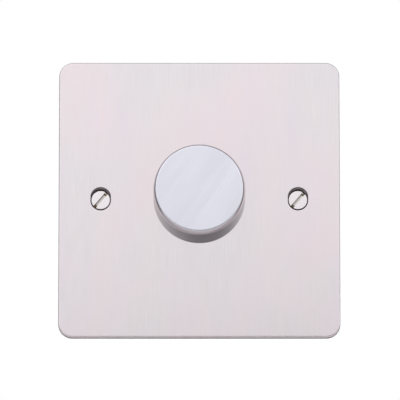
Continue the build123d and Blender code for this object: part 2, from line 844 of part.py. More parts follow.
def choke_winding():
    """One layer of wire round the core, open for a short way, grooved between its turns."""
    gap = press_gap
    sleeve = turned(
        [
            (choke_inner_radius, choke_front),
            (choke_outer_radius, choke_front),
            (choke_outer_radius, choke_rear),
            (choke_inner_radius, choke_rear),
        ]
    )
    core_space = turned(
        [
            (choke_core_inner_diameter / 2 - gap, choke_front + choke_wire_diameter - gap),
            (choke_core_outer_diameter / 2 + gap, choke_front + choke_wire_diameter - gap),
            (choke_core_outer_diameter / 2 + gap, choke_rear - choke_wire_diameter + gap),
            (choke_core_inner_diameter / 2 - gap, choke_rear - choke_wire_diameter + gap),
        ]
    )
    winding = sleeve - core_space
    pitch = (360 - choke_open_angle) / choke_turns
    reach = 2 * choke_outer_radius
    half_open = math.radians(choke_open_angle / 2)
    opening = make_face(
        Polyline(
            (0, 0),
            (-reach * math.sin(half_open), -reach * math.cos(half_open)),
            (reach * math.sin(half_open), -reach * math.cos(half_open)),
            close=True,
        )
    )
    winding -= slab(opening, choke_front, choke_rear)
    ring_outer = choke_outer_radius - choke_groove_depth
    ring_inner = choke_inner_radius + choke_groove_depth
    kept = bar(ring_outer, choke_front + choke_groove_depth, choke_rear - choke_groove_depth)
    kept -= bar(ring_inner, choke_front, choke_rear)
    cutters = []
    for i in range(1, choke_turns):
        angle = -90 + choke_open_angle / 2 + i * pitch
        strip = Pos(reach / 2, 0) * Rectangle(reach, choke_groove_width)
        cutters.append(slab(Rot(0, 0, angle) * strip, choke_front, choke_rear) - kept)
    winding -= cutters
    return Pos(choke_x, 0, choke_z) * winding


def film_capacitor():
    body = block(film_x, lower_row_z, film_width, film_length, board_front - film_height, board_front)
    body = fillet(body.edges().filter_by(Axis.Y), film_edge_radius)
    return body + leads(pair_of_leads(film_x, film_lead_pitch), board_front - lead_tail)


def electrolytic_capacitor():
    """A can with a rolled groove near the board and a crimped edge at its top."""
    radius = electrolytic_diameter / 2
    front = board_front - electrolytic_height
    groove = board_front - electrolytic_groove_setback
    can = turned(
        [
            (0, front),
            (radius - electrolytic_groove_depth, front),
            (radius, front + electrolytic_groove_depth),
            (radius, groove - 2 * electrolytic_groove_depth),
            (radius - electrolytic_groove_depth, groove - electrolytic_groove_depth),
            (radius, groove),
            (radius, board_front),
            (0, board_front),
        ],
        electrolytic_x,
        lower_row_z,
    )
    return can + leads(pair_of_leads(electrolytic_x, electrolytic_lead_pitch), board_front - lead_tail)


def fuse():
    body = bar(fuse_diameter / 2, board_front - fuse_height, board_front, fuse_x, lower_row_z)
    body = chamfer(edges_at(body, board_front - fuse_height), fuse_chamfer)
    return body + leads(pair_of_leads(fuse_x, fuse_lead_pitch), board_front - lead_tail)


def axial_part(x, z, length, diameter, waist, pitch):
    """A small part that lies along X, with its two leads bent down into the board."""
    radius = diameter / 2
    centre = board_front - axial_lift - radius
    body = make_face(
        Polyline(
            (-length / 2, 0),
            (-length / 2, radius),
            (-length / 2 + axial_cap_length, radius),
            (-length / 2 + axial_cap_length, waist / 2),
            (length / 2 - axial_cap_length, waist / 2),
            (length / 2 - axial_cap_length, radius),
            (length / 2, radius),
            (length / 2, 0),
            close=True,
        )
    )
    piece = Pos(x, centre, z) * revolve(body, Axis.X)
    for side in (-1, 1):
        foot = x + side * pitch / 2
        run = pitch / 2 - length / 2 + lead_size / 2
        middle = x + side * (length / 2 + run / 2)
        arm = Pos(middle, centre, z) * Box(run, lead_size, lead_size)
        piece += arm + block(foot, z, lead_size, lead_size, centre, board_rear + lead_tail)
    return piece


def resistors():
    return [
        axial_part(
            resistor_x,
            z,
            resistor_body_length,
            resistor_body_diameter,
            resistor_waist_diameter,
            resistor_lead_pitch,
        )
        for z in resistor_heights
    ]


def diac():
    return axial_part(
        diac_x,
        diac_height,
        diac_body_length,
        diac_body_diameter,
        diac_waist_diameter,
        diac_lead_pitch,
    )


def control_chip():
    """A small chip with bent legs down both of its long sides."""
    front = board_front - chip_leg_size / 2 - chip_height
    rear = board_front - chip_leg_size / 2
    body = block(chip_x, chip_z, chip_width, chip_length, front, rear)
    reach = chip_length / 2 + chip_leg_reach
    for i in range(chip_leg_count):
        x = chip_x + (i - (chip_leg_count - 1) / 2) * chip_leg_pitch
        middle = (front + rear) / 2
        half = chip_leg_size / 2
        body += block(x, chip_z, chip_leg_size, 2 * reach - 2 * chip_leg_size, middle - half, middle + half)
        for side in (-1, 1):
            foot_z = chip_z + side * (reach - chip_leg_size)
            body += block(x, foot_z, chip_leg_size, chip_leg_size, middle - half, board_front)
    return body


def triac():
    """The power switch: a moulded body on a metal tab, with three bent legs."""
    tab_middle = triac_tab_top - triac_tab_length / 2
    tab_rear = triac_front + triac_tab_thickness
    piece = block(triac_x, tab_middle, triac_width, triac_tab_length, triac_front, tab_rear)
    body_middle = triac_body_bottom + triac_body_length / 2
    body_rear = triac_front + triac_body_thickness
    piece += block(triac_x, body_middle, triac_width, triac_body_length, triac_front, body_rear)
    piece -= bar(triac_tab_hole_diameter / 2, triac_front, tab_rear, triac_x, triac_screw_z)
    for i in (-1, 0, 1):
        x = triac_x + i * triac_lead_pitch
        run = triac_lead_reach + triac_lead_width / 2
        middle = triac_body_bottom - run / 2
        half = triac_lead_thickness / 2
        piece += block(x, middle, triac_lead_width, run, triac_lead_y - half, triac_lead_y + half)
        piece += block(x, triac_lead_z, lead_size, lead_size, triac_lead_y, board_rear + lead_tail)
    return piece


def triac_pad():
    """The thin insulating pad between the triac and the yoke."""
    middle = triac_tab_top - triac_tab_length / 2
    width = triac_width + 2 * pad_margin
    height = triac_tab_length + pad_margin
    pad = block(triac_x, middle - pad_margin / 2, width, height, yoke_rear, triac_front)
    return pad - bar(triac_tab_hole_diameter / 2, yoke_rear, triac_front, triac_x, triac_screw_z)


def triac_screw():
    tip = yoke_front + rest_gap
    seat = triac_front + triac_tab_thickness
    radius = triac_screw_diameter / 2
    head = triac_screw_head_diameter / 2
    return rear_screw(triac_x, triac_screw_z, radius, tip, seat, head, triac_screw_head_height)


sub_parts = {
    "faceplate": faceplate,
    "plate_gasket": plate_gasket,
    "fixing_screws": fixing_screws,
    "control_nut": control_nut,
    "lock_washer": lock_washer,
    "knob_shell": knob_shell,
    "knob_insert": knob_insert,
    "knob_grip_spring": knob_grip_spring,
    "spindle": spindle,
    "control_bush": control_bush,
    "control_housing": control_housing,
    "resistor_track": resistor_track,
    "wiper_rotor": wiper_rotor,
    "wiper_contact": wiper_contact,
    "heat_sink_yoke": heat_sink_yoke,
    "rear_housing": rear_housing,
    "housing_screws": housing_screws,
    "terminal_blocks": terminal_blocks,
    "terminal_screws": terminal_screws,
    "earth_terminal": earth_terminal,
    "earth_screw": earth_screw,
    "circuit_board": circuit_board,
    "switch_body": switch_body,
    "fixed_contacts": fixed_contacts,
    "switch_plunger": switch_plunger,
    "bridge_contact": bridge_contact,
    "return_spring": return_spring,
    "choke_core": choke_core,
    "choke_winding": choke_winding,
    "film_capacitor": film_capacitor,
    "electrolytic_capacitor": electrolytic_capacitor,
    "fuse": fuse,
    "resistors": resistors,
    "diac": diac,
    "control_chip": control_chip,
    "triac": triac,
    "triac_pad": triac_pad,
    "triac_screw": triac_screw,
}

os.makedirs("parts", exist_ok=True)
for name, make in sub_parts.items():
    piece = make()
    if isinstance(piece, list):
        piece = Compound(children=piece)
    export_step(piece, f"parts/{name}.step")
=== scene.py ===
import bmesh
import bpy
import math
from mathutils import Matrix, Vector


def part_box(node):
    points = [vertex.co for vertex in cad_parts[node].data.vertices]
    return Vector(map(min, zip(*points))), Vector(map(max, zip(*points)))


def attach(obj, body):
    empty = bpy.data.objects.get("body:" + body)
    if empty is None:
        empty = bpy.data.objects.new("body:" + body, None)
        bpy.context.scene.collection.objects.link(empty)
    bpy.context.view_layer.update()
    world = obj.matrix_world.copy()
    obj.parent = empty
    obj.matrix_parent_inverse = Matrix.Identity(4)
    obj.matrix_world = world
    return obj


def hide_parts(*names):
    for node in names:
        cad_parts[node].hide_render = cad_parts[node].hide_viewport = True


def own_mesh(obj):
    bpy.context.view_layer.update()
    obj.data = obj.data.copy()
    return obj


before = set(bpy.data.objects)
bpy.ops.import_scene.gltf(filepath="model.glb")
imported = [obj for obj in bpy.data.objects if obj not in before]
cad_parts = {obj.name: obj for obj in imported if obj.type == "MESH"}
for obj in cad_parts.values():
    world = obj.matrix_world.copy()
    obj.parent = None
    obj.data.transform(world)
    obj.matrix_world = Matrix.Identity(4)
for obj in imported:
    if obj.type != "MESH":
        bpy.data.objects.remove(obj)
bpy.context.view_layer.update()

# Sizes and places are in millimetres. Y runs into the wall, Z is up.
# The faceplate, and its holes for the box screws, the bush and the control's locating pip.
plate_front = -3.0
plate_rear = -1.0
plate_corner = 4.4
plate_front_edge = 0.5
plate_rear_edge = 0.08
screw_x = 30.15
hole_half_width = 3.1
hole_travel = 1.0
hole_rise = 0.2
hole_straight = 1.13
hole_floor = 2.05
hole_lip = 0.15
bush_hole_radius = 5.15
pip_hole_radius = 1.3
pip_z = -10.8
middle_holes_reach = 20.0

# The knob's cap.
knob_front = -19.0
knob_rear = -4.2
knob_radius = 14.0
knob_wall = 1.4
knob_edge_width = 1.05
knob_edge_depth = 2.3
knob_rim = 0.3
knob_inside_front = -17.5

# The box screws: a countersunk head, the slot sawn in it, and a threaded shank.
head_front = -2.05
head_radius = 2.95
head_rim = 0.3
head_edge = 0.2
head_slot_width = 0.9
head_slot_depth = 0.65
head_slot_edge = 0.06
head_slot_angle = 50.0
thread_radius = 1.75
thread_core = 1.4
thread_pitch = 0.6
thread_sink = 0.02
thread_lead_in = 0.15
shank_start = -0.55
shank_taper = 0.35
screw_tip = 21.95
tip_length = 0.5

# The return spring: its wire and its turns.
spring_wire = 0.5
spring_turns = 4

# How far a cutter reaches past the metal, and how near counts as on a face.
cut_past = 1.0
tolerance = 0.01

# How many flat steps there are in a full turn.
knob_steps = 160
screw_steps = 72
hole_steps = 64
coil_steps = 36


def mm(value):
    """A length in millimetres, in metres."""
    return value / 1000


def deselect():
    """Leaves edit mode and lets go of everything."""
    if bpy.context.object and bpy.context.object.mode != "OBJECT":
        bpy.ops.object.mode_set(mode="OBJECT")
    bpy.ops.object.select_all(action="DESELECT")


def pick(piece):
    """Selects one piece, and nothing else, in object mode."""
    deselect()
    piece.select_set(True)
    bpy.context.view_layer.objects.active = piece


def settle():
    """Puts the chosen piece's place, turn and size into its mesh."""
    bpy.ops.object.transform_apply(location=True, rotation=True, scale=True)


def choose(piece, kind, wanted):
    """In edit mode, selects the corners, edges or faces that pass a test, and nothing else.
    The test is given all the corners of one of them, in millimetres."""
    bpy.ops.mesh.select_mode(type=kind)
    bpy.ops.mesh.select_all(action="DESELECT")
    mesh = bmesh.from_edit_mesh(piece.data)
    parts = {"VERT": mesh.verts, "EDGE": mesh.edges, "FACE": mesh.faces}[kind]
    for part in parts:
        corners = [part] if kind == "VERT" else part.verts
        if wanted(*[corner.co * 1000 for corner in corners]):
            part.select_set(True)
    bmesh.update_edit_mesh(piece.data)


def arc(centre_radius, centre_depth, radius, start, end, steps, stretch=1.0):
    """Points of a rounded edge, as (radius, depth) in millimetres. Angle 0 points outwards, 90 to the
    rear, and stretch makes the edge deeper than it is wide."""
    angles = [math.radians(start + (end - start) * i / steps) for i in range(steps + 1)]
    across = [centre_radius + radius * math.cos(angle) for angle in angles]
    depths = [centre_depth + radius * stretch * math.sin(angle) for angle in angles]
    return list(zip(across, depths))


def outline(name, points):
    """A new piece of one line through (radius, depth) points, left in edit mode with all selected."""
    deselect()
    bpy.ops.mesh.primitive_plane_add(size=mm(1), location=(0, 0, 0))
    piece = bpy.context.object
    piece.name = name
    bpy.ops.object.mode_set(mode="EDIT")
    bpy.ops.mesh.select_mode(type="VERT")
    bpy.ops.mesh.select_all(action="SELECT")
    bpy.ops.mesh.merge(type="CENTER")
    bpy.ops.transform.translate(value=(mm(points[0][0]), mm(points[0][1]), 0))
    for here, there in zip(points, points[1:]):
        step = (mm(there[0] - here[0]), mm(there[1] - here[1]), 0)
        bpy.ops.mesh.extrude_region_move(TRANSFORM_OT_translate={"value": step})
    bpy.ops.mesh.select_all(action="SELECT")
    return piece


def turned(name, points, steps):
    """A piece turned about the Y axis from (radius, depth) points, left in edit mode."""
    piece = outline(name, points)
    bpy.ops.mesh.spin(steps=steps, angle=math.tau, center=(0, 0, 0), axis=(0, 1, 0))
    bpy.ops.mesh.select_all(action="SELECT")
    bpy.ops.mesh.remove_doubles(threshold=mm(0.001))
    bpy.ops.mesh.normals_make_consistent(inside=False)
    return piece


def wound(name, points, pitch, turns):
    """A piece whose (radius, depth) line is wound about the Y axis, with its ends filled."""
    piece = outline(name, points)
    bpy.ops.object.mode_set(mode="OBJECT")
    wind = piece.modifiers.new("wind", "SCREW")
    wind.axis = "Y"
    wind.angle = math.tau
    wind.screw_offset = mm(pitch)
    wind.iterations = turns
    wind.steps = coil_steps
    wind.render_steps = coil_steps
    wind.use_merge_vertices = True
    wind.merge_threshold = mm(0.001)
    bpy.ops.object.modifier_apply(modifier=wind.name)
    bpy.ops.object.mode_set(mode="EDIT")
    bpy.ops.mesh.select_all(action="SELECT")
    bpy.ops.mesh.remove_doubles(threshold=mm(0.002))
    bpy.ops.mesh.fill_holes(sides=0)
    bpy.ops.mesh.select_all(action="SELECT")
    bpy.ops.mesh.normals_make_consistent(inside=False)
    bpy.ops.object.mode_set(mode="OBJECT")
    return piece


def block(name, middle, size):
    """A square-edged piece, from its middle and its size in metres."""
    deselect()
    bpy.ops.mesh.primitive_cube_add(size=1, location=middle)
    piece = bpy.context.object
    piece.name = name
    bpy.ops.transform.resize(value=size)
    settle()
    return piece


def move_to(piece, x, z):
    """Puts a piece that was made on the Y axis in its place."""
    pick(piece)
    bpy.ops.transform.translate(value=(mm(x), 0, mm(z)))
    settle()


def cut(piece, cutter):
    """Takes the cutter's shape out of the piece."""
    pick(piece)
    change = piece.modifiers.new("cut", "BOOLEAN")
    change.operation = "DIFFERENCE"
    change.solver = "EXACT"
    change.object = cutter
    bpy.ops.object.modifier_apply(modifier=change.name)
    bpy.data.objects.remove(cutter)


def round_over(radius, segments):
    """Bevels the chosen edges."""
    bpy.ops.mesh.bevel(offset=mm(radius), segments=segments, profile=0.5, affect="EDGES")


def resize(factor):
    """Makes the chosen piece larger or smaller about the origin."""
    bpy.ops.transform.resize(value=(factor, factor, factor))
    settle()


def finish_shape(piece, angle):
    """Smooth shading over curves, with flat faces kept flat."""
    pick(piece)
    bpy.ops.object.shade_smooth_by_angle(angle=math.radians(angle))
    # Faces are weighed in square millimetres: in square metres they are all too small to count.
    resize(1000)
    change = piece.modifiers.new("flat_faces", "WEIGHTED_NORMAL")
    change.keep_sharp = True
    bpy.ops.object.modifier_apply(modifier=change.name)
    resize(1 / 1000)


def box_screw_hole(x):
    """What is cut from the faceplate for one box screw: a short slot, then a seat for its cone."""
    front, rear = plate_front - cut_past, plate_rear + cut_past
    straight_end = plate_front + hole_straight
    cone_end = straight_end + hole_half_width - hole_floor
    side = [(hole_half_width, front), (hole_half_width, straight_end), (hole_floor, cone_end)]
    cutter = turned("hole", [(0, front), *side, (hole_floor, rear), (0, rear)], screw_steps)
    for end in (-1, 1):
        choose(cutter, "VERT", lambda corner: end * corner.z > tolerance)
        bpy.ops.transform.translate(value=(0, 0, mm(end * hole_travel / 2)))
    move_to(cutter, x, hole_rise)
    return cutter


def round_hole(radius, z):
    """What is cut from the middle of the faceplate for a round part of the control behind it."""
    front, rear = plate_front - cut_past, plate_rear + cut_past
    cutter = turned("hole", [(0, front), (radius, front), (radius, rear), (0, rear)], hole_steps)
    move_to(cutter, 0, z)
    return cutter


def on_lip(*corners):
    """Whether an edge of the plate is on the front lip of a box screw's hole."""
    reach = hole_half_width + hole_travel
    near = all(math.hypot(abs(c.x) - screw_x, c.z - hole_rise) < reach for c in corners)
    return near and max(c.y for c in corners) < plate_front + tolerance


def inside_hole(*corners):
    """Whether a face of the plate is on the wall of one of its holes."""
    middle = sum(corners, Vector()) / len(corners)
    near_screw = math.hypot(abs(middle.x) - screw_x, middle.z) < hole_half_width + hole_travel
    near_middle = math.hypot(middle.x, middle.z) < middle_holes_reach
    between = plate_front + hole_lip <= middle.y < plate_rear - tolerance
    return between and (near_screw or near_middle)


def make_faceplate(sheet, wall):
    """The pressed plate, its front edge and the lips of its holes rounded over."""
    low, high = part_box("faceplate")
    plate = block("brushed_faceplate", (low + high) / 2, high - low)
    bpy.ops.object.mode_set(mode="EDIT")
    choose(plate, "EDGE", lambda a, b: max(abs(a.x - b.x), abs(a.z - b.z)) < tolerance)
    round_over(plate_corner, 20)
    choose(plate, "EDGE", lambda a, b: max(a.y, b.y) < plate_front + tolerance)
    round_over(plate_front_edge, 6)
    choose(plate, "EDGE", lambda a, b: min(a.y, b.y) > plate_rear - tolerance)
    round_over(plate_rear_edge, 1)
    for x in (-screw_x, screw_x):
        cut(plate, box_screw_hole(x))
    for radius, z in ((bush_hole_radius, 0), (pip_hole_radius, pip_z)):
        cut(plate, round_hole(radius, z))
    bpy.ops.object.mode_set(mode="EDIT")
    choose(plate, "EDGE", on_lip)
    round_over(hole_lip, 4)
    choose(plate, "FACE", inside_hole)
    plate.data.materials.append(sheet)
    plate.data.materials.append(wall)
    plate.active_material_index = 1
    bpy.ops.object.material_slot_assign()
    finish_shape(plate, angle=40)
    return plate


def make_knob_cap(finish):
    """The knob's metal cap: a flat face, a rounded edge, straight sides, and open behind."""
    face = [(0, knob_front), (knob_radius / 2, knob_front)]
    edge_radius, edge_depth = knob_radius - knob_edge_width, knob_front + knob_edge_depth
    stretch = knob_edge_depth / knob_edge_width
    edge = arc(edge_radius, edge_depth, knob_edge_width, -90, 0, 14, stretch)
    rim = arc(knob_radius - knob_rim, knob_rear - knob_rim, knob_rim, 0, 90, 3)
    inner = knob_radius - knob_wall
    bore = [(inner, knob_rear), (inner, knob_inside_front), (0, knob_inside_front)]
    cap = turned("knob_cap", [*face, *edge, *rim, *bore], knob_steps)
    cap.data.materials.append(finish)
    finish_shape(cap, angle=40)
    return cap


def driver_slot():
    """What is sawn from a box screw's head, at a slant."""
    middle = head_front + (head_slot_depth - cut_past) / 2
    size = (mm(3 * head_radius), mm(head_slot_depth + cut_past), mm(head_slot_width))
    slot = block("driver_slot", (0, mm(middle), 0), size)
    slot.rotation_euler = (0, -math.radians(head_slot_angle), 0)
    settle()
    return slot


def on_driver_slot(*corners):
    """Whether an edge of a box screw is where its slot meets the front of its head."""
    turn = math.radians(head_slot_angle)
    across = [abs(c.z * math.cos(turn) - c.x * math.sin(turn)) for c in corners]
    on_front = max(c.y for c in corners) < head_front + tolerance
    return on_front and all(abs(d - head_slot_width / 2) < tolerance for d in across)


def make_thread():
    """The rolled thread on a box screw's shank, one turn's profile wound along the axis."""
    start = shank_start + thread_lead_in
    turns = int((screw_tip - tip_length - start) / thread_pitch)
    foot = thread_core - thread_sink
    flank, crest = 0.42 * thread_pitch, 0.1 * thread_pitch
    profile = [
        (foot, start),
        (thread_radius, start + flank),
        (thread_radius, start + flank + crest),
        (foot, start + 2 * flank + crest),
        (foot, start + thread_pitch),
    ]
    return wound("thread", profile, thread_pitch, turns)


def make_box_screw(name, x, finish):
    """A slotted countersunk box screw: a sharp slot, a softened rim and a rolled thread."""
    cone_start = head_front + head_rim
    cone_end = cone_start + head_radius - thread_radius
    profile = [
        (0, head_front),
        *arc(head_radius - head_edge, head_front + head_edge, head_edge, -90, 0, 4),
        (head_radius, cone_start),
        (thread_radius, cone_end),
        (thread_radius, shank_start),
        (thread_core, shank_start + shank_taper),
        (thread_core, screw_tip - tip_length),
        (thread_core - tip_length, screw_tip),
        (0, screw_tip),
    ]
    screw = turned(name, profile, screw_steps)
    cut(screw, driver_slot())
    bpy.ops.object.mode_set(mode="EDIT")
    choose(screw, "EDGE", on_driver_slot)
    round_over(head_slot_edge, 2)
    thread = make_thread()
    pick(screw)
    thread.select_set(True)
    bpy.ops.object.join()
    move_to(screw, x, 0)
    screw.data.materials.append(finish)
    finish_shape(screw, angle=35)
    return screw


def make_return_spring(finish):
    """The switch's return spring, in square wire, as large as the plain one that it stands for."""
    low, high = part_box("return_spring")
    outer, start, end = high.x * 1000, low.y * 1000, high.y * 1000
    inner = outer - spring_wire
    wire_end = start + spring_wire
    section = [(inner, start), (outer, start), (outer, wire_end), (inner, wire_end), (inner, start)]
    spring = wound("coil_spring", section, (end - wire_end) / spring_turns, spring_turns)
    spring.data.materials.append(finish)
    finish_shape(spring, angle=40)
    return spring


def colour(hexes):
    """An sRGB hex value as linear red, green and blue, with full alpha."""
    parts = [int(hexes[i : i + 2], 16) / 255 for i in (0, 2, 4)]
    return [p / 12.92 if p <= 0.04045 else ((p + 0.055) / 1.055) ** 2.4 for p in parts] + [1.0]


def join_up(tree, made, inputs):
    """Gives a node's sockets their values, or joins them to other nodes or to one of their outputs.
    A node by itself stands for the first output that it has in use."""
    for socket, value in inputs.items():
        if isinstance(value, bpy.types.Node):
            value = next(output for output in value.outputs if output.enabled)
        if isinstance(value, bpy.types.NodeSocket):
            tree.links.new(value, made.inputs[socket])
        else:
            made.inputs[socket].default_value = value
    return made


def add(tree, kind, inputs=None, **settings):
    """Adds a node with its settings, values and links. A Mix node of two colours takes the share of
    the second at socket 0 and the colours at sockets 6 and 7."""
    made = tree.nodes.new(kind)
    for name, value in settings.items():
        setattr(made, name, value)
    return join_up(tree, made, inputs or {})


def empty_tree(owner):
    """The node tree of a material or a world, with no nodes yet."""
    owner.use_nodes = True
    owner.node_tree.nodes.clear()
    return owner.node_tree


def new_finish(name):
    """A material, its tree, its shader joined to the output, and each point's place on the piece."""
    made = bpy.data.materials.new(name)
    tree = empty_tree(made)
    shader = add(tree, "ShaderNodeBsdfPrincipled")
    add(tree, "ShaderNodeOutputMaterial", {"Surface": shader})
    return made, tree, shader, add(tree, "ShaderNodeTexCoord").outputs["Object"]


def every(x, y, z):
    """How often a pattern repeats in a metre, from its spacing in millimetres along each axis."""
    return (1000 / x, 1000 / y, 1000 / z)


def set_tones(ramp, length, tones):
    """Gives a colour ramp its tones, each at a depth in millimetres from the front, over a length."""
    stops = ramp.color_ramp.elements
    for depth, tone in tones[1:-1]:
        stops.new(depth / length).color = colour(tone)
    stops[0].color = colour(tones[0][1])
    stops[-1].color = colour(tones[-1][1])


def brushed_stainless():
    """Stainless steel sheet, brushed up and down with a fine belt and left bare.
    To the eye: pale silver with a faint rosy and lavender cast, and broken hair lines.
    Real hair lines are about 0.1 mm apart. They are drawn 0.35 mm apart, so that they show."""
    made, tree, shader, place = new_finish("brushed_stainless_steel")
    lines = add(tree, "ShaderNodeMapping", {"Vector": place, "Scale": every(0.35, 3, 11)})
    fine = {"Vector": lines, "Scale": 1.0, "Detail": 3.0, "Roughness": 0.65}
    hair = add(tree, "ShaderNodeTexNoise", fine)
    bands = add(tree, "ShaderNodeMapping", {"Vector": place, "Scale": every(9, 30, 45)})
    broad = {"Vector": bands, "Scale": 1.0, "Detail": 2.0, "Roughness": 0.5}
    band = add(tree, "ShaderNodeTexNoise", broad)
    # The rosy patches are shifted to fall much as they do on the real plate.
    patches = add(
        tree,
        "ShaderNodeMapping",
        {"Vector": place, "Scale": every(26, 60, 34), "Location": (3, 1, 7)},
    )
    patch = add(tree, "ShaderNodeTexNoise", {**broad, "Vector": patches})
    rosy = add(tree, "ShaderNodeMapRange", {"Value": patch, "From Min": 0.35, "From Max": 0.65})
    warm = {0: rosy, 6: colour("E6DADE"), 7: colour("E3DFE1")}
    cast = add(tree, "ShaderNodeMix", warm, data_type="RGBA")
    cool = add(
        tree,
        "ShaderNodeMapRange",
        {"Value": band, "From Min": 0.4, "From Max": 0.75, "To Max": 0.6},
    )
    tint = add(tree, "ShaderNodeMix", {0: cool, 6: cast, 7: colour("E0D9E1")}, data_type="RGBA")
    clear = add(
        tree,
        "ShaderNodeMapRange",
        {"Value": patch, "From Min": 0.4, "From Max": 0.6, "To Min": 0.08, "To Max": 0.27},
    )
    line = add(tree, "ShaderNodeMapRange", {"Value": hair, "From Min": 0.3, "From Max": 0.7})
    streak = add(tree, "ShaderNodeMath", {0: line, 1: clear}, operation="MULTIPLY")
    base = add(tree, "ShaderNodeMix", {0: streak, 6: tint, 7: colour("CCC5C9")}, data_type="RGBA")
    rough = add(tree, "ShaderNodeMapRange", {"Value": hair, "To Min": 0.28, "To Max": 0.4})
    relief = add(tree, "ShaderNodeBump", {"Height": hair, "Strength": 0.25, "Distance": mm(0.02)})
    look = {"Base Color": base, "Metallic": 1.0, "Roughness": rough, "Normal": relief}
    join_up(tree, shader, {**look, "Anisotropic": 0.4})
    return made


def sheared_steel():
    """The punched walls of the plate's holes, where the brush doesn't reach: dull, torn steel.
    Their first millimetre behind the front is painted dark as shade in the hole, and a paler burnished
    band follows."""
    made, tree, shader, place = new_finish("punched_steel_wall")
    tears = add(tree, "ShaderNodeMapping", {"Vector": place, "Scale": every(0.4, 1.2, 0.4)})
    fine = {"Vector": tears, "Scale": 1.0, "Detail": 3.0, "Roughness": 0.6}
    tear = add(tree, "ShaderNodeTexNoise", fine)
    depth_here = add(tree, "ShaderNodeSeparateXYZ", {0: place}).outputs[1]
    depth = add(
        tree,
        "ShaderNodeMapRange",
        {"Value": depth_here, "From Min": mm(plate_front), "From Max": mm(plate_rear)},
    )
    tones = add(tree, "ShaderNodeValToRGB", {0: depth})
    thickness = plate_rear - plate_front
    # The hole's straight wall, its first millimetre behind the front, is painted dark: painted shade in
    # the hole.
    dark = [(0, "4C4448"), (1.0, "4C4448")]
    burnished = [(1.15, "D0C7CD"), (1.5, "B8AFB3")]
    set_tones(tones, thickness, [*dark, *burnished, (1.7, "5A4A3C"), (thickness, "5A4A3C")])
    torn = add(tree, "ShaderNodeMath", {0: tear, 1: 0.4}, operation="MULTIPLY")
    base = add(tree, "ShaderNodeMix", {0: torn, 6: tones, 7: colour("6A6166")}, data_type="RGBA")
    relief = add(tree, "ShaderNodeBump", {"Height": tear, "Strength": 0.3, "Distance": mm(0.03)})
    look = {"Base Color": base, "Metallic": 1.0, "Roughness": 0.5, "Normal": relief}
    join_up(tree, shader, look)
    return made


def satin_knob_metal():
    """A turned alloy cap with a satin face, brushed slantwise, and fine turning lines round its sides.
    To the eye: the face is cool and pale, with soft sweeps of painted sheen. The sides are painted by
    depth
    with light and shade: a darker rounded edge as painted shade, a pale band behind it as a painted
    reflection, and a darker grey further back as painted shade.
    Real turning lines are about 0.1 mm apart. They are drawn 0.22 mm apart, so that they show."""
    made, tree, shader, place = new_finish("satin_turned_alloy")
    depth_here = add(tree, "ShaderNodeSeparateXYZ", {0: place}).outputs[1]
    slant = add(
        tree,
        "ShaderNodeMapping",
        {"Vector": place, "Rotation": (0, math.radians(54), 0)},
        vector_type="POINT",
    )
    brush = add(tree, "ShaderNodeMapping", {"Vector": slant, "Scale": every(30, 30, 0.5)})
    fine = {"Vector": brush, "Scale": 1.0, "Detail": 3.0, "Roughness": 0.6}
    hair = add(tree, "ShaderNodeTexNoise", fine)
    # The soft sweeps of tone are painted sheen, shifted to fall much as the sheen does on the real face.
    painted_sheen_sweep = add(
        tree,
        "ShaderNodeMapping",
        {"Vector": slant, "Scale": every(26, 30, 7), "Location": (0.4, 0, 1.3)},
    )
    broad = {"Vector": painted_sheen_sweep, "Scale": 1.0, "Detail": 2.0, "Roughness": 0.5}
    soft = add(tree, "ShaderNodeTexNoise", broad)
    lines = add(tree, "ShaderNodeMapping", {"Vector": place, "Scale": every(60, 0.22, 60)})
    turning = add(tree, "ShaderNodeTexNoise", {**fine, "Vector": lines})
    ring = add(
        tree,
        "ShaderNodeMapRange",
        {"Value": turning, "From Min": 0.3, "From Max": 0.7, "To Max": 0.25},
    )
    pale = add(tree, "ShaderNodeMapRange", {"Value": soft, "From Min": 0.35, "From Max": 0.65})
    satin = {0: pale, 6: colour("DCDCE6"), 7: colour("E2E2EC")}
    face = add(tree, "ShaderNodeMix", satin, data_type="RGBA")
    thin = add(
        tree,
        "ShaderNodeMapRange",
        {"Value": hair, "From Min": 0.35, "From Max": 0.7, "To Max": 0.2},
    )
    lined = add(tree, "ShaderNodeMix", {0: thin, 6: face, 7: colour("CFCFDA")}, data_type="RGBA")
    depth = add(
        tree,
        "ShaderNodeMapRange",
        {"Value": depth_here, "From Min": mm(knob_front), "From Max": mm(knob_rear)},
    )
    tones = add(tree, "ShaderNodeValToRGB", {0: depth})
    length = knob_rear - knob_front
    # The side's tones by depth are painted light: the rounded edge darker as painted shade, a pale band as
    # a painted reflection, the rear darker as painted shade.
    edge = [(0, "D0CACE"), (0.5, "D0CACE")]
    painted_reflection_band = [(1.3, "EEE8EC"), (2.3, "EEE8EC")]
    set_tones(tones, length, [*edge, *painted_reflection_band, (2.9, "AAA4A7"), (length, "BCB6B9")])
    side = add(tree, "ShaderNodeMix", {0: ring, 6: tones, 7: colour("7E787B")}, data_type="RGBA")
    edge_start, edge_end = mm(knob_front + 0.02), mm(knob_front + 0.3)
    towards_side = add(
        tree,
        "ShaderNodeMapRange",
        {"Value": depth_here, "From Min": edge_start, "From Max": edge_end},
        interpolation_type="SMOOTHSTEP",
    )
    base = add(tree, "ShaderNodeMix", {0: towards_side, 6: lined, 7: side}, data_type="RGBA")
    rough = add(tree, "ShaderNodeMapRange", {"Value": turning, "To Min": 0.2, "To Max": 0.3})
    relief = add(tree, "ShaderNodeMix", {0: towards_side, 2: hair, 3: turning}, data_type="FLOAT")
    bump = add(tree, "ShaderNodeBump", {"Height": relief, "Strength": 0.25, "Distance": mm(0.02)})
    look = {"Base Color": base, "Metallic": 1.0, "Roughness": rough, "Normal": bump}
    join_up(tree, shader, look)
    return made


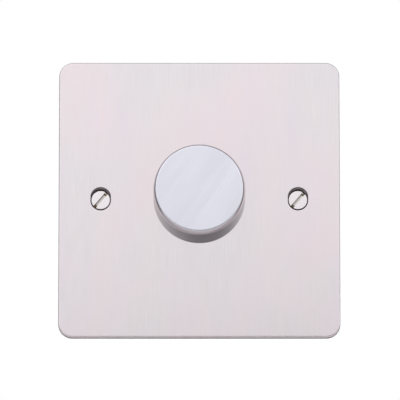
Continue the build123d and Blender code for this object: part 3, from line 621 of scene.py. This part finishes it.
def nickel_over_brass():
    """Brass screws with bright nickel plate, worn to tarnished brass at the ends of the slot.
    To the eye: a clean, slightly warm white metal, with brown or olive brass where a driver has rubbed.
    The slot's floor is painted with shade, darker towards its upper wall, where a thin dark line is
    painted as its shadow."""
    worn_from, worn_fully = mm(1.85), mm(2.05)
    slot_from, slot_fully = mm(head_front + 0.03), mm(head_front + 0.2)
    shank_from = mm(head_front + 1.4)
    half = head_slot_width / 2
    made, tree, shader, place = new_finish("nickel_plated_brass")
    parts = add(tree, "ShaderNodeSeparateXYZ", {0: place})
    across, depth, up = parts.outputs
    hand = add(tree, "ShaderNodeMath", {0: across}, operation="SIGN")
    axis = add(tree, "ShaderNodeMath", {0: hand, 1: mm(screw_x)}, operation="MULTIPLY")
    from_axis = add(tree, "ShaderNodeMath", {0: across, 1: axis}, operation="SUBTRACT")
    flat = add(tree, "ShaderNodeCombineXYZ", {0: from_axis, 1: 0.0, 2: up})
    radius = add(tree, "ShaderNodeVectorMath", {0: flat}, operation="LENGTH")
    outer = add(
        tree,
        "ShaderNodeMapRange",
        {"Value": radius, "From Min": worn_from, "From Max": worn_fully},
    )
    deep = add(tree, "ShaderNodeMapRange", {"Value": depth, "From Min": slot_from, "From Max": slot_fully})
    worn = add(tree, "ShaderNodeMath", {0: outer, 1: deep}, operation="MULTIPLY")
    in_head = add(tree, "ShaderNodeMath", {0: depth, 1: shank_from}, operation="LESS_THAN")
    brassy = add(tree, "ShaderNodeMath", {0: worn, 1: in_head}, operation="MULTIPLY")
    on_right = add(tree, "ShaderNodeMath", {0: across, 1: 0.0}, operation="GREATER_THAN")
    tarnish = {0: on_right, 6: colour("6C5842"), 7: colour("646246")}
    brass = add(tree, "ShaderNodeMix", tarnish, data_type="RGBA")
    marks = add(tree, "ShaderNodeMapping", {"Vector": place, "Scale": every(0.7, 0.3, 0.7)})
    fine = {"Vector": marks, "Scale": 1.0, "Detail": 3.0, "Roughness": 0.55}
    mark = add(tree, "ShaderNodeTexNoise", fine)
    plate = {0: mark, 6: colour("EFEAEC"), 7: colour("E4DEE2")}
    nickel = add(tree, "ShaderNodeMix", plate, data_type="RGBA")
    turn = math.radians(head_slot_angle)
    across_slot = add(
        tree,
        "ShaderNodeVectorMath",
        {0: flat, 1: (-math.sin(turn), 0, math.cos(turn))},
        operation="DOT_PRODUCT",
    )
    # The slot's floor is painted with shade, darker towards its upper wall, and a thin dark line along
    # that wall is a painted shadow.
    shade = add(
        tree,
        "ShaderNodeMapRange",
        {"Value": across_slot, "From Min": mm(-half), "From Max": mm(half)},
    )
    painted_wall_shadow = add(
        tree,
        "ShaderNodeMapRange",
        {"Value": across_slot, "From Min": mm(half - 0.07), "From Max": mm(half - 0.02)},
    )
    floor = {0: shade, 6: colour("DAD5D2"), 7: colour("A09A96")}
    painted_floor_shade = add(tree, "ShaderNodeMix", floor, data_type="RGBA")
    sawn = add(tree, "ShaderNodeMix", {0: painted_wall_shadow, 6: painted_floor_shade, 7: colour("6A6461")}, data_type="RGBA")
    in_slot = add(tree, "ShaderNodeMath", {0: deep, 1: in_head}, operation="MULTIPLY")
    plated = add(tree, "ShaderNodeMix", {0: in_slot, 6: nickel, 7: sawn}, data_type="RGBA")
    base = add(tree, "ShaderNodeMix", {0: brassy, 6: plated, 7: brass}, data_type="RGBA")
    rough = add(tree, "ShaderNodeMapRange", {"Value": mark, "To Min": 0.14, "To Max": 0.3})
    join_up(tree, shader, {"Base Color": base, "Metallic": 1.0, "Roughness": rough})
    return made


def soften(tree, bump, edge):
    """Rounds a finish's corners over to the eye, by a radius in millimetres."""
    if edge:
        join_up(tree, bump, {"Normal": add(tree, "ShaderNodeBevel", {"Radius": mm(edge)}, samples=4)})


def metal(name, bright, dull, grain, roughness, relief, edge=0.0, coat=0.0):
    """A bare or plated metal in two close tones. grain is the size of its marks along each axis in
    millimetres, roughness its lowest and highest, relief the marks' height and edge a softened corner."""
    made, tree, shader, place = new_finish(name)
    marks = add(tree, "ShaderNodeMapping", {"Vector": place, "Scale": every(*grain)})
    fine = {"Vector": marks, "Scale": 1.0, "Detail": 4.0, "Roughness": 0.6}
    mark = add(tree, "ShaderNodeTexNoise", fine)
    clouds = add(tree, "ShaderNodeMapping", {"Vector": place, "Scale": every(6, 6, 6)})
    cloud = add(tree, "ShaderNodeTexNoise", {"Vector": clouds, "Scale": 1.0, "Detail": 2.0})
    tones = add(tree, "ShaderNodeMath", {0: mark, 1: cloud}, operation="MULTIPLY")
    spread = add(tree, "ShaderNodeMapRange", {"Value": tones, "From Min": 0.1, "From Max": 0.4})
    base = add(tree, "ShaderNodeMix", {0: spread, 6: colour(dull), 7: colour(bright)}, data_type="RGBA")
    smooth, coarse = roughness
    rough = add(
        tree,
        "ShaderNodeMapRange",
        {"Value": mark, "From Min": 0.3, "From Max": 0.7, "To Min": coarse, "To Max": smooth},
    )
    bump = add(tree, "ShaderNodeBump", {"Height": mark, "Strength": 0.4, "Distance": mm(relief)})
    soften(tree, bump, edge)
    look = {"Base Color": base, "Metallic": 1.0, "Roughness": rough, "Normal": bump}
    join_up(tree, shader, {**look, "Coat Weight": coat})
    return made


def plastic(name, body, shade, grain, roughness, relief, edge=0.0, tinned=None):
    """A moulded or coated plastic, with a fine texture of one grain size in millimetres.
    tinned is (axis, middle, half): beyond that distance along the axis the piece is its tinned leads."""
    made, tree, shader, place = new_finish(name)
    fine = {"Vector": place, "Scale": 1000 / grain, "Detail": 3.0, "Roughness": 0.6}
    texture = add(tree, "ShaderNodeTexNoise", fine)
    cloud = add(tree, "ShaderNodeTexNoise", {"Vector": place, "Scale": 1000 / 14, "Detail": 2.0})
    tone = add(tree, "ShaderNodeMapRange", {"Value": cloud, "From Min": 0.35, "From Max": 0.65})
    base = add(tree, "ShaderNodeMix", {0: tone, 6: colour(body), 7: colour(shade)}, data_type="RGBA")
    rough = add(
        tree,
        "ShaderNodeMapRange",
        {"Value": texture, "To Min": roughness - 0.06, "To Max": roughness + 0.06},
    )
    bump = add(tree, "ShaderNodeBump", {"Height": texture, "Strength": 0.5, "Distance": mm(relief)})
    soften(tree, bump, edge)
    join_up(tree, shader, {"Base Color": base, "Roughness": rough, "Normal": bump, "IOR": 1.5})
    if tinned:
        axis, middle, half = tinned
        along = add(tree, "ShaderNodeSeparateXYZ", {0: place}).outputs[axis]
        away = add(tree, "ShaderNodeMath", {0: along, 1: mm(middle)}, operation="SUBTRACT")
        tin_leads(tree, shader, away, half, base)
    return made


def tin_leads(tree, shader, away, half, body):
    """Turns a finish to bright tin past a distance in millimetres from the middle of the body."""
    far = add(tree, "ShaderNodeMath", {0: away}, operation="ABSOLUTE")
    on_lead = add(tree, "ShaderNodeMath", {0: far, 1: mm(half)}, operation="GREATER_THAN")
    tin = add(tree, "ShaderNodeMix", {0: on_lead, 6: body, 7: colour("C4C2BE")}, data_type="RGBA")
    join_up(tree, shader, {"Base Color": tin, "Metallic": on_lead})


def closed_cell_foam():
    """Dark closed-cell foam strip, die cut: open cells about 0.3 mm across show on its cut sides."""
    made, tree, shader, place = new_finish("closed_cell_foam")
    cells = add(tree, "ShaderNodeTexVoronoi", {"Vector": place, "Scale": 1000 / 0.35})
    shades = {0: cells, 6: colour("4A494C"), 7: colour("2C2B2E")}
    base = add(tree, "ShaderNodeMix", shades, data_type="RGBA")
    bump = add(tree, "ShaderNodeBump", {"Height": cells, "Strength": 0.6, "Distance": mm(0.06)})
    join_up(tree, shader, {"Base Color": base, "Roughness": 0.85, "Normal": bump})
    return made


def woven_laminate():
    """Glass cloth laminate under green solder resist: a plain weave 0.5 mm apart shows faintly through."""
    # A wave texture repeats in pi / (10 x scale) metres.
    cloth = {"Scale": 314 / 0.5, "Distortion": 0.4}
    made, tree, shader, place = new_finish("solder_resist_on_laminate")
    warp = add(tree, "ShaderNodeTexWave", {"Vector": place, **cloth}, bands_direction="X")
    weft = add(tree, "ShaderNodeTexWave", {"Vector": place, **cloth}, bands_direction="Z")
    crossing = {0: warp.outputs["Fac"], 1: weft.outputs["Fac"]}
    weave = add(tree, "ShaderNodeMath", crossing, operation="MULTIPLY")
    squares = {"Vector": place, "Scale": 1000 / 7}
    tracks = add(tree, "ShaderNodeTexVoronoi", squares, distance="CHEBYCHEV")
    copper = add(tree, "ShaderNodeMath", {0: tracks, 1: 0.42}, operation="LESS_THAN")
    greens = {0: copper, 6: colour("1C5A34"), 7: colour("2E7A48")}
    resist = add(tree, "ShaderNodeMix", greens, data_type="RGBA")
    faint = add(tree, "ShaderNodeMath", {0: weave, 1: 0.25}, operation="MULTIPLY")
    base = add(tree, "ShaderNodeMix", {0: faint, 6: resist, 7: colour("4E9A62")}, data_type="RGBA")
    height = add(tree, "ShaderNodeMath", {0: weave, 1: copper}, operation="ADD")
    bump = add(tree, "ShaderNodeBump", {"Height": height, "Strength": 0.3, "Distance": mm(0.03)})
    join_up(tree, shader, {"Base Color": base, "Roughness": 0.32, "Normal": bump, "IOR": 1.5})
    return made


def printed_track():
    """Brown phenolic laminate, with a black printed resistor track raised on the wiper's side."""
    track_rear = 7.19
    made, tree, shader, place = new_finish("carbon_track_on_phenolic")
    depth_here = add(tree, "ShaderNodeSeparateXYZ", {0: place}).outputs[1]
    on_track = add(tree, "ShaderNodeMath", {0: depth_here, 1: mm(track_rear)}, operation="LESS_THAN")
    fine = {"Vector": place, "Scale": 1000 / 0.8, "Detail": 4.0, "Roughness": 0.6}
    fibres = add(tree, "ShaderNodeTexNoise", fine)
    browns = {0: fibres, 6: colour("8A5A34"), 7: colour("A87648")}
    phenolic = add(tree, "ShaderNodeMix", browns, data_type="RGBA")
    blacks = {0: fibres, 6: colour("1E1D1E"), 7: colour("343234")}
    carbon = add(tree, "ShaderNodeMix", blacks, data_type="RGBA")
    base = add(tree, "ShaderNodeMix", {0: on_track, 6: phenolic, 7: carbon}, data_type="RGBA")
    bump = add(tree, "ShaderNodeBump", {"Height": fibres, "Strength": 0.3, "Distance": mm(0.02)})
    join_up(tree, shader, {"Base Color": base, "Roughness": 0.45, "Normal": bump, "IOR": 1.55})
    return made


def banded_resistor(middle, half):
    """Tan lacquer with four painted bands across the body, 0.7 mm wide and 1.2 mm apart, and tinned
    leads beyond half its length from its middle."""
    band_width = 0.7
    made, tree, shader, place = new_finish("banded_resistor_lacquer")
    across = add(tree, "ShaderNodeSeparateXYZ", {0: place}).outputs[0]
    along = add(tree, "ShaderNodeMath", {0: across, 1: mm(middle)}, operation="SUBTRACT")
    speckle = add(tree, "ShaderNodeTexNoise", {"Vector": place, "Scale": 1000 / 0.6, "Detail": 2.0})
    tans = {0: speckle, 6: colour("CBB48C"), 7: colour("BCA278")}
    base = add(tree, "ShaderNodeMix", tans, data_type="RGBA")
    for band_place, paint in ((-1.8, "7A4A22"), (-0.6, "2A2628"), (0.6, "C8602A"), (1.8, "B8963C")):
        off = add(tree, "ShaderNodeMath", {0: along, 1: mm(band_place)}, operation="SUBTRACT")
        near = add(tree, "ShaderNodeMath", {0: off}, operation="ABSOLUTE")
        band = add(tree, "ShaderNodeMath", {0: near, 1: mm(band_width / 2)}, operation="LESS_THAN")
        base = add(tree, "ShaderNodeMix", {0: band, 6: base, 7: colour(paint)}, data_type="RGBA")
    join_up(tree, shader, {"Roughness": 0.3})
    tin_leads(tree, shader, along, half, base)
    return made


def studio():
    """The world: plain white to the camera and to reflections, and a softer ambient light."""
    world = bpy.data.worlds.new("white_studio")
    bpy.context.scene.world = world
    tree = empty_tree(world)
    world.cycles.sampling_method = "NONE"
    ray = add(tree, "ShaderNodeLightPath").outputs
    seen = {0: ray["Is Camera Ray"], 1: ray["Is Glossy Ray"]}
    direct = add(tree, "ShaderNodeMath", seen, operation="MAXIMUM")
    through = {0: direct, 1: ray["Is Transmission Ray"]}
    plain = add(tree, "ShaderNodeMath", through, operation="MAXIMUM")
    strength = add(tree, "ShaderNodeMapRange", {"Value": plain, "To Min": 0.55, "To Max": 1.0})
    light = add(tree, "ShaderNodeBackground", {"Color": colour("FFFFFF"), "Strength": strength})
    add(tree, "ShaderNodeOutputWorld", {"Surface": light})


def lamp(name, where, size, power):
    """A soft square lamp that points at the plate."""
    deselect()
    bpy.ops.object.light_add(type="AREA", location=where)
    made = bpy.context.object
    made.name = name
    made.data.size = size
    made.data.energy = power
    made.rotation_euler = (-Vector(where)).to_track_quat("-Z", "Y").to_euler()
    made.visible_camera = False


def stand(name, where, size, turn, paint):
    """A flat floor or card beside the object, which isn't part of it."""
    deselect()
    bpy.ops.mesh.primitive_plane_add(size=1, location=where, rotation=turn)
    made = bpy.context.object
    made.name = name
    made.scale = (*size, 1)
    made.data.materials.append(paint)
    return made


def floor_paint():
    """Pale matt floor that shows near white to the camera, keeps shadows, and is clear from below."""
    made = bpy.data.materials.new("pale_floor")
    tree = empty_tree(made)
    camera_ray = add(tree, "ShaderNodeLightPath").outputs["Is Camera Ray"]
    matt = add(tree, "ShaderNodeBsdfDiffuse", {"Color": colour("F2F2F2")})
    white = add(tree, "ShaderNodeEmission", {"Color": colour("FFFFFF"), "Strength": 1.0})
    share = add(tree, "ShaderNodeMath", {0: camera_ray, 1: 0.75}, operation="MULTIPLY")
    top = add(tree, "ShaderNodeMixShader", {0: share, 1: matt, 2: white})
    from_below = add(tree, "ShaderNodeNewGeometry").outputs["Backfacing"]
    clear = add(tree, "ShaderNodeBsdfTransparent")
    both = add(tree, "ShaderNodeMixShader", {0: from_below, 1: top, 2: clear})
    add(tree, "ShaderNodeOutputMaterial", {"Surface": both})
    return made


def card_paint(tone):
    """Plain card for a studio flag, which shows its own tone in any light."""
    made = bpy.data.materials.new("flag_card")
    tree = empty_tree(made)
    plain = add(tree, "ShaderNodeEmission", {"Color": colour(tone), "Strength": 1.0})
    add(tree, "ShaderNodeOutputMaterial", {"Surface": plain})
    return made


def flag(name, where, size, turn, tone):
    """A card that only reflections see, darker than the white round it, to give metal its contrast."""
    made = stand(name, where, size, turn, card_paint(tone))
    made.visible_camera = False
    made.visible_diffuse = False
    made.visible_shadow = False


def camera():
    """A long lens, square to the plate from side to side and a little below it."""
    distance = 2.0
    pixels_across = 400
    # The width of one pixel at the plate, in metres, and how far off its middle the lens points.
    pixel = 0.0003056
    pixels_right, pixels_down = 0.7, 0.6
    film = 36
    below = math.radians(12.5)
    aim = Vector((pixels_right * pixel, mm(plate_front), -pixels_down * pixel))
    away = Vector((0, -math.cos(below), -math.sin(below)))
    bpy.ops.object.camera_add(location=aim + away * distance)
    made = bpy.context.object
    made.rotation_euler = (-away).to_track_quat("-Z", "Y").to_euler()
    made.data.sensor_width = film
    made.data.lens = film * distance / (pixels_across * pixel)
    made.data.clip_end = 50
    bpy.context.scene.camera = made


# The studio. Places and sizes are in metres, and power is in watts.
level = (0, 0, 0)
facing_front = (math.radians(90), 0, 0)
facing_side = (0, math.radians(90), 0)
bpy.context.scene.view_settings.view_transform = "Standard"
deselect()
camera()
studio()
lamp("key", (-0.8, -1.1, 1.2), size=2.2, power=4.5)
lamp("fill", (1.3, -1.0, 0.3), size=2.0, power=3)
lamp("back", (0.7, 1.4, 0.8), size=1.8, power=5)
stand("floor", (0, 0, -0.5), (16, 16), level, floor_paint())
# Cards for the metal to reflect where it looks darker in the studio.
flag("flag_below", (0, -0.4, -0.35), (3, 4), level, "DEDCDD")
flag("flag_front", (0.05, -0.45, -0.12), (0.24, 0.24), facing_front, "1E1D1E")
flag("flag_low_front", (0, -0.46, -0.29), (0.9, 0.22), facing_front, "B4B2B3")
flag("flag_left", (-0.8, 0.1, 0.1), (0.9, 0.9), facing_side, "8A8889")
flag("flag_right", (0.8, 0.1, 0.1), (0.9, 0.9), facing_side, "9A9899")
flag("flag_above", (0, 0.4, 0.7), (2.2, 1.2), level, "9A9899")
flag("flag_behind", (0, 0.4, -0.21), (0.6, 0.44), facing_front, "161516")

# Leads run along an axis, and start half a body's length from its middle, in millimetres.
leads_to_board = (1, 0, 9.65)
axial_leads = (0, -15.5, 2.0)
finishes = {
    # Zinc plate over steel, passivated: bluish silver with slightly cloudy patches.
    "plated_steel": metal(
        "zinc_plated_steel", "D3D5D8", "B4B6BA", (0.5, 0.12, 0.5), (0.22, 0.36), 0.01, edge=0.08
    ),
    # Foam gasket.
    "gasket_foam": closed_cell_foam(),
    # The box screws, the faceplate and the knob's cap.
    "screw_nickel_brass": nickel_over_brass(),
    "plate_steel": brushed_stainless(),
    "knob_satin_metal": satin_knob_metal(),
    # Mineral-filled black moulding, matt, with a faint flow pattern.
    "black_moulding": plastic("matt_black_moulding", "29282A", "201F21", 0.25, 0.55, 0.02),
    # Hardened and tempered spring strip and wire: bluish grey, drawn along its length.
    "spring_steel": metal(
        "tempered_spring_steel", "B9BBBE", "9799A0", (0.2, 0.2, 0.2), (0.2, 0.3), 0.006
    ),
    # Free-cutting aluminium, turned: rings 0.12 mm apart along the spindle.
    "spindle_aluminium": metal(
        "turned_aluminium", "D6D7D9", "BFC0C3", (20, 0.12, 20), (0.22, 0.34), 0.01
    ),
    # Zinc die casting: grey, with a grainy skin.
    "bush_zinc": metal("die_cast_zinc", "BDBDBC", "9E9F9F", (0.4, 0.4, 0.4), (0.3, 0.45), 0.02),
    # Glass-filled control body, dark blue-grey, with a moulded skin.
    "control_plastic": plastic("glass_filled_moulding", "353942", "2B2E36", 0.3, 0.5, 0.02),
    "track_laminate": printed_track(),
    # Natural nylon: off-white, a little waxy.
    "switch_plastic": plastic("natural_nylon", "E4E1D4", "D8D4C4", 0.5, 0.42, 0.01),
    # Phosphor bronze strip, rolled lengthwise.
    "contact_bronze": metal("phosphor_bronze", "D3A878", "B98A5C", (0.1, 2, 2), (0.22, 0.34), 0.006),
    # Mill-finish aluminium sheet, rolled up and down, with soft handling marks.
    "yoke_aluminium": metal(
        "mill_finish_aluminium", "D8DADC", "C2C4C7", (0.25, 2, 12), (0.28, 0.42), 0.012, edge=0.12
    ),
    # White thermoplastic with a spark-eroded skin of about 0.2 mm grain.
    "housing_plastic": plastic(
        "spark_eroded_thermoplastic", "E6E5E1", "E1E0DC", 0.22, 0.5, 0.05, edge=0.25
    ),
    # Extruded brass, sawn to length: warm yellow with fine draw lines and darker tarnish.
    "terminal_brass": metal(
        "extruded_brass", "DDBB72", "B4904C", (0.3, 0.3, 4), (0.22, 0.38), 0.012, edge=0.12
    ),
    "board_laminate": woven_laminate(),
    # Powdered iron ring in thick yellow paint.
    "core_ferrite": plastic("painted_iron_powder", "D2BC4C", "BCA63C", 0.6, 0.45, 0.03),
    # Copper wire in clear enamel.
    "winding_copper": metal(
        "enamelled_copper", "C8703C", "A4542A", (1.2, 1.2, 1.2), (0.18, 0.28), 0.008, coat=0.8
    ),
    # Epoxy-filled film capacitor box, with tinned leads.
    "film_case": plastic("capacitor_box", "CDB036", "BFA02C", 0.6, 0.35, 0.01, tinned=leads_to_board),
    # Shrunk sleeve over an aluminium can, with tinned leads.
    "capacitor_sleeve": plastic(
        "shrink_sleeve", "1E2638", "182030", 0.8, 0.3, 0.01, tinned=leads_to_board
    ),
    # Brown moulded fuse case, with tinned leads.
    "fuse_case": plastic("fuse_moulding", "5A3222", "4C281A", 0.4, 0.4, 0.01, tinned=leads_to_board),
    "resistor_lacquer": banded_resistor(middle=16.2, half=3.0),
    # Small glass diode body in blue lacquer, with tinned leads.
    "diac_glass": plastic("lacquered_glass", "3A6494", "305684", 1.0, 0.2, 0.004, tinned=axial_leads),
    # Filled silicone pad, grey and slightly tacky.
    "pad_silicone": plastic("filled_silicone", "8C9094", "7E8286", 0.3, 0.7, 0.01),
}
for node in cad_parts.values():
    for used in node.material_slots:
        used.material = finishes[used.material.name.split(".")[0]]

knob_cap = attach(make_knob_cap(finishes["knob_satin_metal"]), "knob")
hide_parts("knob_shell")

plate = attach(make_faceplate(finishes["plate_steel"], sheared_steel()), "root")
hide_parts("faceplate")

for name, x in (("box_screw_left", -screw_x), ("box_screw_right", screw_x)):
    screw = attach(make_box_screw(name, x, finishes["screw_nickel_brass"]), "root")
    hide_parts("fixing_screws")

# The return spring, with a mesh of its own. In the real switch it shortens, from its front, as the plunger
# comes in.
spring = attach(make_return_spring(finishes["spring_steel"]), "root")
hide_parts("return_spring")
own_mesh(spring)

# The brushed plate is too rough to mirror the knob, so reflections leave out the knob and its inside.
inside_knob = [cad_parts[name] for name in ("knob_insert", "knob_grip_spring", "spindle")]
for hidden in (knob_cap, *inside_knob):
    hidden.visible_glossy = False

deselect()
